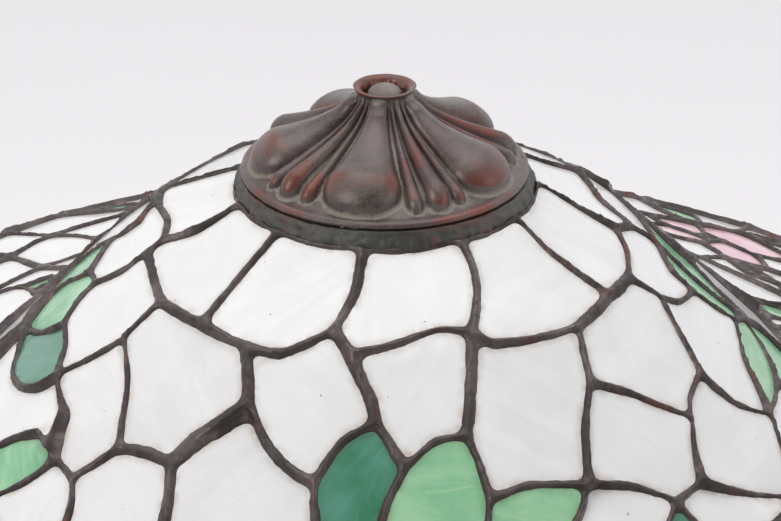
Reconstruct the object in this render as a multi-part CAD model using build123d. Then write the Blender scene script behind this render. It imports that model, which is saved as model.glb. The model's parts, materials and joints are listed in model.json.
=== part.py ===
"""Leaded-glass table lamp with a bell-shaped mosaic shade on a cast bronze stand.

Millimetres, +Z up. The origin is the centre of the foot's underside. Azimuth 0 is the front of the
lamp, towards -Y, and grows towards +X. A place on the shade is (azimuth in degrees, distance in
millimetres down the dome from the upper edge of the glass).
"""

import math
import os
from collections import defaultdict

from build123d import *

# ---------------------------------------------------------------- driving dimensions

CROWN_Z = 615.0  # height of the glass's upper edge
CROWN_R = 55.0  # radius of the glass's upper edge
HOOP_S = 144.0  # where the crown pattern meets the repeated skirt pattern
RIM_S = 350.0  # lower edge of the glass
SECTORS = 6  # flowers round the skirt
SECTOR_DEG = 360.0 / SECTORS
FIRST_FLOWER = 19.0  # azimuth of the first flower
FLOWER_SHIFTS = (0, 2, 0, 6, -3, 1)  # how far each flower strays from even spacing, in degrees

# Slope of the dome below the horizontal, in degrees, at distances down from the crown.
DOME_SLOPES = [
    (0, 13), (20, 25), (40, 36), (60, 42), (80, 45.5), (105, 48), (122, 47), (140, 35),
    (160, 20), (180, 12), (200, 9), (220, 12), (240, 20), (260, 32), (280, 48), (295, 68),
    (310, 84), (330, 94), (350, 97),
]  # fmt: skip

GLASS_T = 2.6  # sheet glass thickness
SEAM_ABOVE = 0.9  # height of foil and solder above the glass
SEAM_BELOW = 0.9  # and below it
SEAM_SPLIT = 0.5  # from the middle of a seam to each sheet's foil
CURVE_STEP = 13.0  # longest straight piece of a curved seam
LEAST_SHEET = 18.0  # smallest sheet, in square millimetres

CAP_R = 53.0
CAP_RIM_Z = CROWN_Z + 6.4  # underside of the cap's rim
CAP_LIP_Z = CROWN_Z + 41.0  # top of the cap's throat
CAP_THROAT_R = 8.2

ROD_R = 4.9
ROD_BORE = 5.2
ROD_TOP = CROWN_Z + 35.0
NUT_Z = CROWN_Z + 32.2
NUT_R = 6.4

FOOT_R = 115.0
FOOT_TOP = 84.0
LOBES = 5  # great lobes round the foot, like those cast on the cap
FIRST_LOBE = -12.0  # azimuth of the first lobe
FLOOR_PLATE = 4.2  # top of the plate that closes the foot
FOOT_CEILING = 73.8  # under the solid top of the foot
INLET_Z = 11.5
STEM_TOP = 450.0
CLUSTER_Z = 468.0
CLUSTER_R = 27.0
SOCKET_AZIMUTHS = (0, 120, 240)
SOCKET_IN, SOCKET_OUT = 38.0, 86.0  # the socket's reach from the axis
SOCKET_R = 17.5
BULB_R = 30.0
BULB_MID = 158.0  # from the axis to the middle of a bulb
CHAIN_X = 52.0  # from the axis to a pull chain
CHAIN_BEADS = 24
BEAD_R = 1.6
BEAD_PITCH = 4.4


# ---------------------------------------------------------------- the dome's shape


def slope_at(s):
    """Slope of the dome, in degrees below the horizontal, s millimetres down from the crown."""
    for (s0, a0), (s1, a1) in zip(DOME_SLOPES, DOME_SLOPES[1:]):
        if s <= s1:
            return a0 + (a1 - a0) * (s - s0) / (s1 - s0)
    return DOME_SLOPES[-1][1]


def dome_table():
    """Radius and drop of the dome at every millimetre, by adding up its slope."""
    radius, drop, rows = CROWN_R, 0.0, [(CROWN_R, 0.0)]
    for s in range(int(RIM_S) + 4):
        slope = math.radians(slope_at(s + 0.5))
        radius += math.cos(slope)
        drop += math.sin(slope)
        rows.append((radius, drop))
    return rows


DOME = dome_table()


def dome_radius(s):
    i = max(0, min(int(s), len(DOME) - 2))
    return DOME[i][0] + (DOME[i + 1][0] - DOME[i][0]) * (s - i)


def dome_drop(s):
    i = max(0, min(int(s), len(DOME) - 2))
    return DOME[i][1] + (DOME[i + 1][1] - DOME[i][1]) * (s - i)


def dome_point(place):
    """The point of the dome's outer face at (azimuth, distance down)."""
    azimuth, s = math.radians(place[0]), place[1]
    r = dome_radius(s)
    return Vector(r * math.sin(azimuth), -r * math.cos(azimuth), CROWN_Z - dome_drop(s))


def dome_normal(place):
    """Outward normal of the dome."""
    azimuth, slope = math.radians(place[0]), math.radians(slope_at(place[1]))
    return Vector(
        math.sin(slope) * math.sin(azimuth),
        -math.sin(slope) * math.cos(azimuth),
        math.cos(slope),
    )


# ---------------------------------------------------------------- the pattern's places

# Crown: named places (azimuth, distance down). The seams are drawn through them.
CROWN = {
    # under the crown ring
    "r1": (-140, 0), "r2": (-107, 0), "r3": (-71, 0), "r4": (-42.5, 0), "r5": (-8, 0),
    "r6": (29, 0), "r7": (57.5, 0), "r8": (90, 0), "r9": (121, 0), "r10": (152, 0),
    "r11": (187, 0),
    # first row of sheets
    "a1": (-140, 33), "a2": (-106, 36), "a3": (-85, 28), "a4": (-74, 31), "a5": (-74, 38),
    "a6": (-65.5, 41), "a7": (-55, 46), "v1": (-49, 46), "a8": (-41, 46), "a9": (-29.5, 48),
    "a10": (-22, 48), "a11": (-11.5, 36), "a12": (-7, 46), "a13": (3.5, 40),
    "a14": (12, 36), "a15": (19, 39), "v2": (22, 44), "a16": (30, 46),
    "a17": (43.5, 48), "a18": (56, 45), "v3": (61, 45), "a19": (66.5, 45), "a20": (76.5, 40),
    "a21": (83, 34), "a22": (89, 40), "v4": (90, 46), "a23": (97, 30),
    "a24": (115, 29), "a25": (133, 38), "a26": (152, 34), "a27": (169, 44), "a28": (187, 40),
    "a29": (-158, 43), "u1": (-8, 19), "u2": (26, 19), "u3": (84.5, 20),
    "u4": (116, 16), "u5": (-70, 18), "u6": (54.5, 17),
    # left flank: three leaves and the sheets round them
    "b1": (-75.5, 50), "b2": (-79.5, 62), "b3": (-86, 65), "b4": (-95, 56), "b5": (-93.5, 42),
    "b6": (-113, 62), "b7": (-108, 88), "b8": (-92, 80), "b9": (-91.5, 93), "b10": (-89, 102),
    "b11": (-99, 70), "b12": (-98, 89), "b13": (-79, 71), "b14": (-76.5, 80), "b15": (-83, 94),
    "b16": (-79, 86), "b17": (-70.5, 83), "b18": (-66, 91), "b19": (-68.5, 99),
    "b20": (-73.5, 107), "b21": (-80, 110), "b22": (-85, 104), "b23": (-87, 122),
    # left front
    "c1": (-57, 64), "c2": (-61.5, 78), "c3": (-49.5, 76), "c4": (-43.5, 97),
    "c5": (-39, 94), "c6": (-33.5, 94), "v5": (-31, 84), "c7": (-24, 68),
    "c8": (-26, 59), "c9": (-48.5, 114), "c10": (-54, 112), "c11": (-58, 98),
    "v6": (-63.5, 94), "c12": (-60.5, 110), "c13": (-64.5, 118), "c14": (-55.5, 123),
    "c15": (-31, 112), "c16": (-19, 80), "v7": (-14.5, 87), "v8": (-46, 122),
    # front: dark leaf, pale leaf and the sheets above them
    "d1": (-1.5, 69), "v9": (1, 77), "d2": (-6.5, 75), "d3": (-9, 83), "d4": (-10.5, 91),
    "d5": (-9.5, 104), "d6": (3, 85), "d7": (0.5, 95), "d8": (-1, 106), "d9": (-5, 121),
    "d10": (8, 76), "d11": (13.5, 75), "d12": (14.5, 85), "d13": (15, 98),
    "d14": (13.5, 110), "d15": (6.5, 122), "d16": (-2.5, 61), "d17": (16, 58),
    # right front
    "e1": (30.5, 100), "e2": (21.5, 95), "e3": (28, 108), "e4": (21, 121),
    "e5": (38.5, 68), "v10": (41, 56), "e6": (45.5, 77), "e7": (54.5, 96),
    "e8": (57, 91), "e9": (63.5, 87), "e10": (70, 58), "v11": (66.5, 72),
    "e11": (48.5, 116), "e12": (43, 117), "e13": (37.5, 106), "e14": (65.5, 103),
    "e15": (55, 129), "e16": (33.5, 83), "e17": (51, 105), "e18": (38, 127),
    "e19": (41, 134), "e20": (44, 127),
    # right flank: four leaves and the sheets round them
    "f1": (90.5, 53), "f2": (83.5, 61), "f3": (83, 72), "f4": (74.5, 66),
    "f5": (85.5, 87), "f6": (87.5, 95), "f7": (93, 104), "f8": (89.5, 67), "f9": (90, 81),
    "f10": (103, 50), "f11": (99, 62), "f12": (98, 78), "f13": (95.5, 91),
    "f14": (78.5, 103), "f15": (75, 112), "f16": (71.5, 119), "f17": (82, 121),
    "f18": (89.5, 115), "f19": (96.5, 114), "f20": (95.5, 127), "f21": (112, 42),
    # back
    "g1": (128, 70), "g2": (118, 86), "g3": (140, 100), "g4": (152, 66),
    "g6": (176, 70), "g7": (188, 100), "g8": (-160, 72), "g9": (-150, 100), "g10": (-132, 70),
    "g11": (-125, 100), "g12": (158, 80), "g13": (170, 114), "g14": (152, 112),
}  # fmt: skip

# Where crown seams end on the hoop, by azimuth.
HOOP_ENDS = {
    "h1": -87, "h2": -70, "h3": -61, "h4": -43.5, "h5": -29.5, "h6": -5, "h7": 7, "h8": 20,
    "h9": 41, "h11": 63.5, "h12": 84, "h13": 93, "h14": 113, "h15": 140, "h16": 170,
    "h17": 193, "h18": -147, "h19": -122, "h20": 156,
}  # fmt: skip

# Crown seams: visible width in millimetres, then the places the seam passes through.
CROWN_SEAMS = [
    (3.4, "r1 a1"), (2.6, "r2 a2"), (3.0, "r3 u5 a4"), (3.4, "r4 a8"), (4.0, "r5 u1 a11"),
    (3.5, "r6 u2 a15"), (2.6, "r7 u6 a18"), (2.2, "r8 u3 a21"), (2.2, "r9 u4 a24"),
    (3.2, "r10 a26"), (3.2, "r11 a28"),
    (3.0, "a1 a2 a3 a4"), (3.4, "a4 a5"), (3.8, "a5 a6 a7"), (4.2, "a7 v1 a8"), (3.8, "a8 a9"),
    (3.8, "a9 a10 a11"), (3.2, "a12 a13 a14 a15"), (3.4, "a15 v2 a16 a17"), (4.6, "a17 a18"),
    (5.0, "a18 v3 a19"), (2.6, "a19 a20 a21"), (3.8, "a21 a22"), (2.4, "a22 a23 a24"),
    (3.0, "a24 a25 a26 a27 a28"), (3.2, "a28 a29 a1"),
    # left flank
    (3.2, "a5 b1 b2"), (3.0, "b2 b13 b14"), (2.4, "a2 b5 b4"), (2.4, "b4 b3"), (2.8, "b3 b2"),
    (2.4, "b3 b8 b9 b10"), (2.2, "b4 b11 b12 b10"), (2.4, "a2 b6 b7 b10"),
    (3.0, "b14 b16 b15 b10"), (2.6, "b14 b17 b18"), (3.2, "b18 b19 b20 b21 b22 b10"),
    (5.6, "b10 b23 h1"),
    # left front
    (3.0, "a7 c1"), (2.8, "c1 c2 b18"), (2.4, "c1 c3 c4"), (3.4, "b18 v6 c11"), (4.8, "c11 c10"),
    (2.8, "c10 c9"), (3.2, "c9 c4"), (4.3, "c4 c5 c6"), (7.0, "c6 v5 c7"), (4.4, "c7 c8 a9"),
    (3.8, "c7 c16 v7 d4"), (3.2, "c10 c12 c13 h2"), (2.6, "c10 c14 h3"), (4.0, "c9 v8 h4"),
    (5.0, "c6 c15 h5"),
    # front
    (4.0, "a11 a12"), (4.6, "a12 d16 d1"), (3.1, "d1 d2 d3 d4"), (3.2, "d4 d5 d9"),
    (3.6, "d1 v9 d6"), (3.0, "d6 d7 d8 d9"), (2.4, "d6 d10 d11"), (4.6, "a15 d17 d11"),
    (2.8, "d11 d12 d13"), (2.8, "d13 d14 d15"), (2.8, "d15 d8"), (3.2, "d9 h6"), (3.2, "d15 h7"),
    # right front
    (2.8, "d13 e2 e1"), (3.0, "e1 e3 e4"), (2.8, "e4 d14"), (3.2, "e4 h8"), (2.6, "a17 v10 e5"),
    (2.8, "e5 e16 e1"), (3.0, "e5 e6 e7"), (2.6, "e7 e8 e9"), (2.6, "e7 e17 e11"), (2.6, "e11 e12"),
    (2.8, "e1 e13 e12"), (2.2, "a19 e10"), (2.4, "e10 v11 e9"), (2.4, "e9 e14 f16"),
    (2.8, "e12 e18 e19"), (2.8, "e12 e20 e19"), (2.8, "e19 h9"), (2.8, "e11 e15 h11"),
    # right flank
    (2.4, "a22 v4 f1"), (2.2, "f1 f2 f3"), (2.2, "f3 f5 f6"), (2.2, "f1 f8 f9 f7"),
    (2.6, "e10 f4 f3"), (2.6, "f6 f7"), (2.2, "f1 f10"), (2.4, "a24 f21 f10"),
    (2.6, "f10 f11 f12 f13 f7"), (2.2, "f6 f14 f15 f16"), (2.4, "f16 f17 f18 f7"),
    (3.0, "f7 f19 f20 h13"), (2.6, "f17 h12"), (3.2, "f16 h11"), (5.4, "f12 g2 h14"),
    # back
    (3.0, "f21 g1"), (3.0, "g1 g2"), (3.0, "a26 g4"), (3.0, "g1 g4 g6 g8 g10 b6"),
    (3.0, "g4 g3 h15"), (2.6, "g4 g12 g13"), (2.6, "g12 g14 h20"), (2.6, "g13 h16"),
    (3.0, "g6 g7 h17"), (3.0, "a28 g6"), (3.0, "a29 g8"), (3.0, "g8 g9 h18"), (3.0, "g10 g11 h19"),
    (3.0, "a1 g10"),
]  # fmt: skip

# Skirt: one flower's sector, azimuths counted from the flower. A name ending in ' is the same
# place in the next sector.
SKIRT = {
    "h1": (-30, HOOP_S), "h2": (-17, HOOP_S), "h3": (-3, HOOP_S), "h4": (14, HOOP_S),
    "k1": (-25.5, 151), "k2": (-20.5, 157), "k3": (-22, 169), "k4": (-26.5, 161),
    "a1": (-30, 180), "a2": (-19, 181), "a3": (-4, 176), "a4": (9, 180), "a5": (21, 176),
    # flower
    "c1": (-1.2, 202), "c2": (1.6, 203.5), "c3": (0.8, 208.5), "c4": (-1.6, 207.5),
    "p1": (-5.5, 190), "p2": (-10.5, 196), "p3": (-6.5, 205.5), "p4": (-10, 216.5),
    "p5": (-5.5, 223), "p6": (-0.5, 226), "p7": (3.4, 218), "p8": (8.8, 213), "p9": (5.6, 205),
    "p10": (8.2, 198), "p11": (3.8, 192.5), "p12": (-0.5, 196.5),
    # leaves beside the flower
    "l1": (-15, 188), "l2": (-10, 184), "l3": (-10, 190), "m1": (-10.5, 246), "m2": (-6.5, 233),
    "m3": (-4.5, 240), "n1": (11.5, 238), "n2": (8, 225), "n3": (5.5, 233),
    # white sheets of the flower band
    "s1": (-31, 206), "w1": (-20, 205), "w2": (20, 213), "w3": (17, 190),
    "b1": (-30, 237), "b2": (-20.5, 244), "b4": (1, 247), "b5": (13.5, 247), "b6": (21.5, 242),
    # shoulder: two hanging leaves
    "j1": (-9.5, 258), "j2": (-12.5, 277), "j3": (-16.5, 259), "q1": (17, 260), "q2": (13, 279),
    "q3": (10, 261),
    "t1": (-30, 291), "t2": (-21.5, 289), "t3": (-12, 292), "t4": (0, 289), "t5": (13.5, 292),
    "t6": (22, 289), "y1": (-31, 264),
    # apron
    "x1": (-30, 324), "x2": (-21, 326), "x3": (-11, 323), "x4": (0, 326), "x5": (12, 323),
    "x6": (21.5, 326),
    "z1": (-30, RIM_S), "z2": (-21.5, RIM_S), "z3": (-11, RIM_S), "z4": (-0.5, RIM_S),
    "z5": (11.5, RIM_S), "z6": (21.5, RIM_S),
}  # fmt: skip

SKIRT_SEAMS = [
    (3.2, "h1 k1"), (3.0, "h2 k2"), (2.8, "k1 k2 k3"), (2.8, "k3 k4 k1"), (3.0, "k3 a2"),
    (5.0, "h1 a1"), (3.2, "h3 a3"), (3.2, "h4 a4"), (3.6, "a1 a2 a3 a4 a5 a1'"),
    (2.4, "c1 c2 c3 c4 c1"), (2.8, "p1 p2 p3"), (2.8, "p3 p4 p5 p6 p7"), (2.8, "p7 p8 p9"),
    (2.8, "p9 p10 p11 p12"), (2.8, "p12 p1"), (2.6, "c4 p3"), (2.6, "c3 p7"), (2.6, "c2 p9"),
    (2.6, "c1 p12"),
    (2.8, "p1 l2 l1"), (2.8, "l1 l3 p1"), (3.0, "l1 a2"), (3.0, "l1 w1"), (3.0, "a3 p1"),
    (3.0, "p2 w1 s1"), (5.0, "a1 s1 b1"), (3.0, "w1 b2"), (3.0, "p4 m1"), (2.8, "p6 m2 m1"),
    (2.8, "m1 m3 p6"), (2.8, "p6 b4"), (2.8, "p7 n2 n1"), (2.8, "n1 n3 p7"), (3.0, "n1 b5"),
    (3.0, "a4 p11"), (3.0, "a5 w3 p10"), (3.0, "w3 w2 s1'"), (3.0, "p8 w2"), (3.0, "w2 b6"),
    (3.6, "b1 b2 m1 b4 b5 b6 b1'"),
    (2.8, "m1 j1 j2"), (2.8, "j2 j3 m1"), (2.8, "b5 q1 q2"), (2.8, "q2 q3 b5"), (5.0, "b1 y1 t1"),
    (3.0, "b2 t2"), (3.0, "j2 t3"), (3.0, "b4 t4"), (3.0, "q2 t5"), (3.0, "b6 t6"),
    (3.6, "t1 t2 t3 t4 t5 t6 t1'"), (3.0, "t1 x1"), (3.0, "t2 x2"), (3.0, "t3 x3"), (3.0, "t4 x4"),
    (3.0, "t5 x5"), (3.0, "t6 x6"), (3.6, "x1 x2 x3 x4 x5 x6 x1'"), (3.0, "x1 z1"), (3.0, "x2 z2"),
    (3.0, "x3 z3"), (3.0, "x4 z4"), (3.0, "x5 z5"), (3.0, "x6 z6"),
]  # fmt: skip

# Coloured glass, by a place inside the sheet. Everything else is white.
CROWN_GLASS = [
    ("dark_leaf", (-5, 95)), ("leaf", (8, 98)), ("leaf", (21, 106)), ("dark_leaf", (41, 126)),
    ("leaf", (-60, 118)), ("dark_leaf", (-76, 98)), ("leaf", (-84, 82)), ("leaf", (-95.5, 80)),
    ("leaf", (87, 72)), ("leaf", (95, 70)), ("leaf", (84, 108)), ("leaf", (91, 116)),
    ("leaf", (160, 96)),
]  # fmt: skip
SKIRT_GLASS = [
    ("leaf", (-24, 158)), ("centre", (0, 205.5)), ("petal", (-5.5, 198)), ("petal", (-5, 214)),
    ("petal", (4.5, 210)), ("petal", (4, 199)), ("leaf", (-10.5, 187)), ("leaf", (-5.3, 236)),
    ("leaf", (7, 229)), ("dark_leaf", (-12.7, 260)), ("leaf", (13.4, 261)), ("border", (-26, 338)),
    ("border", (-16, 338)), ("border", (-5, 338)), ("border", (6, 338)), ("border", (17, 338)),
    ("border", (26, 338)),
]  # fmt: skip


# ---------------------------------------------------------------- seams and sheets


def flat(place):
    """A map of the dome as a flat ring, for following the seams round each sheet."""
    azimuth, reach = math.radians(place[0]), place[1] + 60.0
    return (reach * math.cos(azimuth), reach * math.sin(azimuth))


def smooth(before, start, end, after, t):
    """A point on the smooth curve through four places."""
    return tuple(
        0.5 * (
            2 * p1 + (p2 - p0) * t + (2 * p0 - 5 * p1 + 4 * p2 - p3) * t**2
            + (3 * p1 - p0 - 3 * p2 + p3) * t**3
        )
        for p0, p1, p2, p3 in zip(before, start, end, after)
    )


def skirt_place(sector, place):
    """A place of the skirt's pattern, in one of its sectors."""
    stray = FLOWER_SHIFTS[sector] * max(0.0, 1.0 - abs(place[0]) / (SECTOR_DEG / 2))
    return (place[0] + FIRST_FLOWER + SECTOR_DEG * sector + stray, place[1])


def all_places():
    """Every named place of the pattern, and every seam as (width, list of names)."""
    places = dict(CROWN)
    seams = [(width, names.split()) for width, names in CROWN_SEAMS]
    for name, azimuth in HOOP_ENDS.items():
        places[name] = (azimuth, HOOP_S)
    for sector in range(SECTORS):
        for name, place in SKIRT.items():
            places[f"{name}/{sector}"] = skirt_place(sector, place)
        following = (sector + 1) % SECTORS
        for width, names in SKIRT_SEAMS:
            seams.append((width, [
                f"{name[:-1]}/{following}" if name.endswith("'") else f"{name}/{sector}"
                for name in names.split()
            ]))
    for s, width in ((0, 3.0), (HOOP_S, 4.4), (RIM_S, 3.0)):
        hoop = [name for name, place in places.items() if abs(place[1] - s) < 0.01]
        hoop.sort(key=lambda name: places[name][0] % 360)
        shared = {b: a for a, b in zip(hoop, hoop[1:]) if (places[b][0] - places[a][0]) % 360 < 1.2}
        seams = [(w, [shared.get(name, name) for name in names]) for w, names in seams]
        hoop = [name for name in hoop if name not in shared]
        seams.append((width, hoop + hoop[:1]))
    return places, seams


def nearest_turn(azimuth, other):
    """The same azimuth, within half a turn of another."""
    return other + (azimuth - other + 180.0) % 360.0 - 180.0


def draw_seams(places, seams):
    """Cut each seam at its junctions. Gives (junction, junction, width, points between) pieces."""
    meetings = defaultdict(int)
    for _, names in seams:
        for name in names:
            meetings[name] += 1
    pieces = []
    for width, names in seams:
        line = [places[names[0]]]
        for name in names[1:]:
            azimuth, s = places[name]
            line.append((nearest_turn(azimuth, line[-1][0]), s))
        closed = names[0] == names[-1]
        piece = [names[0]]
        points = [line[0]]
        for i in range(len(line) - 1):
            before = line[i - 1] if i else line[i]
            after = line[i + 2] if i + 2 < len(line) else line[i + 1]
            if closed and i == 0:
                before = (nearest_turn(line[-2][0], line[0][0]), line[-2][1])
            if closed and i + 2 == len(line):
                after = (nearest_turn(line[1][0], line[-1][0]), line[1][1])
            length = (dome_point(line[i + 1]) - dome_point(line[i])).length
            count = max(1, math.ceil(length / CURVE_STEP))
            for k in range(1, count):
                points.append(smooth(before, line[i], line[i + 1], after, k / count))
            points.append(line[i + 1])
            end = names[i + 1]
            if meetings[end] > 1 or i + 2 == len(line):
                pieces.append((piece[0], end, width, points))
                piece = [end]
                points = [line[i + 1]]
    return pieces


def trace_sheets(pieces):
    """Follow the seams round every sheet. Each sheet is a list of (place, width) points."""
    leaving = defaultdict(list)
    for index, (start, end, _, points) in enumerate(pieces):
        for way, line, node in ((0, points, start), (1, points[::-1], end)):
            (x0, y0), (x1, y1) = flat(line[0]), flat(line[1])
            leaving[node].append((math.atan2(y1 - y0, x1 - x0), index, way))
    turn = {}
    for node, ends in leaving.items():
        ends.sort()
        for i, (_, index, way) in enumerate(ends):
            _, next_index, next_way = ends[i - 1]
            turn[(index, 1 - way)] = (next_index, next_way)
    sheets, done = [], set()
    for first in sorted(turn):
        if first in done:
            continue
        outline, step = [], first
        while step not in done:
            done.add(step)
            _, _, width, points = pieces[step[0]]
            line = points if step[1] == 0 else points[::-1]
            outline.extend((place, width) for place in line[:-1])
            step = turn[step]
        sheets.append(outline)
    return sheets


def inset(outline, amounts):
    """Move each side of a flat outline inwards by its own amount, dropping sides that vanish."""
    sides = []
    for i, (x0, y0) in enumerate(outline):
        x1, y1 = outline[(i + 1) % len(outline)]
        length = math.hypot(x1 - x0, y1 - y0)
        if length > 0.05:
            sides.append(((x0, y0), ((x1 - x0) / length, (y1 - y0) / length), amounts[i]))
    for _ in range(40):
        corners = []
        for i, (point, way, amount) in enumerate(sides):
            other_point, other_way, other_amount = sides[i - 1]
            cross = other_way[0] * way[1] - other_way[1] * way[0]
            here = (point[0] - way[1] * amount, point[1] + way[0] * amount)
            if abs(cross) < 0.15:
                between = (amount + other_amount) / 2
                mean = (way[0] + other_way[0], way[1] + other_way[1])
                size = math.hypot(*mean)
                meet = point if size else other_point
                shift = (-mean[1] / size * between, mean[0] / size * between)
                corners.append((meet[0] + shift[0], meet[1] + shift[1]))
                continue
            there = (
                other_point[0] - other_way[1] * other_amount,
                other_point[1] + other_way[0] * other_amount,
            )
            along = ((here[0] - there[0]) * way[1] - (here[1] - there[1]) * way[0]) / cross
            corners.append((there[0] + other_way[0] * along, there[1] + other_way[1] * along))
        worst, where = 0.3, None
        for i, (_, way, _) in enumerate(sides):
            (x0, y0), (x1, y1) = corners[i], corners[(i + 1) % len(sides)]
            run = (x1 - x0) * way[0] + (y1 - y0) * way[1]
            if run < worst:
                worst, where = run, i
        if where is None or len(sides) <= 3:
            return corners
        sides.pop(where)
    return corners


def area(outline):
    return 0.5 * sum(
        x0 * y1 - x1 * y0 for (x0, y0), (x1, y1) in zip(outline, outline[1:] + outline[:1])
    )


def inside(point, outline):
    x, y = point
    crossings = 0
    for (x0, y0), (x1, y1) in zip(outline, outline[1:] + outline[:1]):
        if (y0 > y) != (y1 > y) and x < x0 + (x1 - x0) * (y - y0) / (y1 - y0):
            crossings += 1
    return crossings % 2 == 1


# ---------------------------------------------------------------- solids


def cut_sheet(outline):
    """Flat glass sheet and its foil-and-solder frame for one outline of (place, width) points."""
    points = [dome_point(place) for place, _ in outline]
    middle = sum(points, Vector(0, 0, 0)) / len(points)
    normal = Vector(0, 0, 0)
    for one, two in zip(points, points[1:] + points[:1]):
        normal += (one - middle).cross(two - middle)
    normal = normal.normalized()
    outward = sum((dome_normal(place) for place, _ in outline), Vector(0, 0, 0))
    if normal.dot(outward) < 0:
        normal = -normal
    across = Vector(0, 0, 1).cross(normal).normalized()
    upward = normal.cross(across)
    drawn = [((p - middle).dot(across), (p - middle).dot(upward)) for p in points]
    amounts = [width / 2 for _, width in outline]
    if area(drawn) < 0:
        drawn = drawn[::-1]
        amounts = amounts[-2::-1] + amounts[-1:]
    glass = inset(drawn, amounts)
    seam = inset(drawn, [SEAM_SPLIT] * len(drawn))
    if area(glass) < LEAST_SHEET:
        return None

    def face(shape, depth):
        return Wire.make_polygon(
            [middle + across * x + upward * y + normal * depth for x, y in shape], close=True
        )

    sheet = Solid.extrude(Face(face(glass, -GLASS_T)), normal * GLASS_T)
    low = -GLASS_T - SEAM_BELOW
    frame = Solid.extrude(
        Face(face(seam, low), [face(glass, low)]), normal * (GLASS_T + SEAM_ABOVE + SEAM_BELOW)
    )
    return sheet, frame


def zone_of(azimuth, s):
    """Part of the shade that a place belongs to: a third of the crown, or a flower of the skirt."""
    if s < HOOP_S:
        return "crown_" + ("front", "right", "left")[int((azimuth + 60.0) % 360.0 // 120.0)]
    return f"skirt_{int((azimuth + SECTOR_DEG / 2 - FIRST_FLOWER) % 360.0 // SECTOR_DEG) + 1}"


def glass_and_seams():
    """Every sheet and every frame, sorted into nodes by colour, band and sector."""
    places, seams = all_places()
    seeds = [(kind, flat(place)) for kind, place in CROWN_GLASS]
    for sector in range(SECTORS):
        seeds += [(kind, flat(skirt_place(sector, place))) for kind, place in SKIRT_GLASS]
    nodes = defaultdict(list)
    for outline in trace_sheets(draw_seams(places, seams)):
        drawn = [flat(place) for place, _ in outline]
        middle = (sum(x for x, _ in drawn) / len(drawn), sum(y for _, y in drawn) / len(drawn))
        if inside((0.0, 0.0), drawn):
            continue
        made = cut_sheet(outline)
        if made is None:
            print("no room for glass at", round(math.degrees(math.atan2(*middle[::-1]))), middle)
            continue
        kind = "white"
        for seed, where in seeds:
            if inside(where, drawn):
                kind = seed
        s = math.hypot(*middle) - 60.0
        zone = zone_of(math.degrees(math.atan2(middle[1], middle[0])), s)
        where = zone if kind == "white" else zone.split("_")[0]
        nodes[f"glass_{kind}_{where}"].append(made[0])
        nodes[f"seams_{zone}"].append(made[1])
    return nodes


def turned(points):
    """A solid turned round the vertical axis from (radius, height) corners."""
    face = Face(Wire.make_polygon([Vector(r, 0, z) for r, z in points], close=True))
    return Solid.revolve(face, 360, Axis.Z)


def tube(outer, inner, low, high):
    return turned([(inner, low), (outer, low), (outer, high), (inner, high)])


def around(solids, azimuth):
    """Turn solids drawn along +X so that they point to an azimuth."""
    return [solid.rotate(Axis.Z, azimuth - 90.0) for solid in solids]


def teardrop(reach, height, bulb, tip_reach, tip_height, tip, azimuth):
    """A round-ended lobe, narrowing from its bulb to its tip."""
    bulb_centre, tip_centre = Vector(reach, 0, height), Vector(tip_reach, 0, tip_height)
    way = tip_centre - bulb_centre
    along = way.normalized()
    taper = (bulb - tip) / way.length
    cone = Solid.make_cone(
        bulb * math.sqrt(1 - taper**2), tip * math.sqrt(1 - taper**2),
        way.length - taper * (bulb - tip),
        Plane(origin=bulb_centre + along * (taper * bulb), z_dir=along),
    )
    drop = Solid.make_sphere(bulb, Plane(bulb_centre)) + cone + Solid.make_sphere(tip, Plane(tip_centre))
    return around(drop.solids(), azimuth)[0]


def cap():
    """Cast vent cap: a thin bell with a rolled rim and a flared throat."""
    z = CAP_RIM_Z
    outside = [
        (CAP_R - 1.2, z), (CAP_R, z + 1.3), (CAP_R - 1.2, z + 2.6), (48, z + 6), (42, z + 11.5),
        (34, z + 15), (25, z + 18.5), (17, z + 22.5), (12, z + 26.5), (10, z + 30),
        (10.2, z + 32.5), (11.4, CAP_LIP_Z),
    ]
    within = [
        (CAP_THROAT_R + 0.6, CAP_LIP_Z), (CAP_THROAT_R, z + 32), (CAP_THROAT_R, z + 28),
        (10.5, z + 24.5), (16, z + 19), (23, z + 14.5), (31, z + 10), (39, z + 5.5), (45.5, z + 1.8),
        (50, z),
    ]
    return [turned(outside + within)]


def cap_bridge():
    """Three-armed bridge soldered inside the cap, with a sleeve for the rod."""
    z = CAP_RIM_Z
    bridge = tube(7.0, ROD_BORE, z + 8.0, NUT_Z - 1.6)
    for k in range(3):
        arm = Solid.make_box(22.5, 4.0, 3.0, Plane(Vector(6.5, -2.0, z + 8.0)))
        bridge = bridge + around([arm], 30 + 120 * k)[0]
    return bridge.solids()


def spider():
    """Three-armed spider that hangs the shade on the rod."""
    z = CROWN_Z - 4.0
    body = tube(12.0, ROD_BORE, z, z + 4.0)
    for k in range(3):
        arm = Solid.make_box(39.2, 8.0, 3.0, Plane(Vector(11.0, -4.0, z)))
        body = body + around([arm], 30 + 120 * k)[0]
    return body.solids()


def nut():
    """Domed nut, blind at the top."""
    z = NUT_Z
    outside = [(NUT_R, z), (NUT_R, z + 3.4), (5.6, z + 5.4), (4.0, z + 6.8), (2.0, z + 7.5), (0, z + 7.7)]
    return [turned([(ROD_BORE, z), *outside, (0, z + 5.6), (ROD_BORE, z + 5.6)])]


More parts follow.
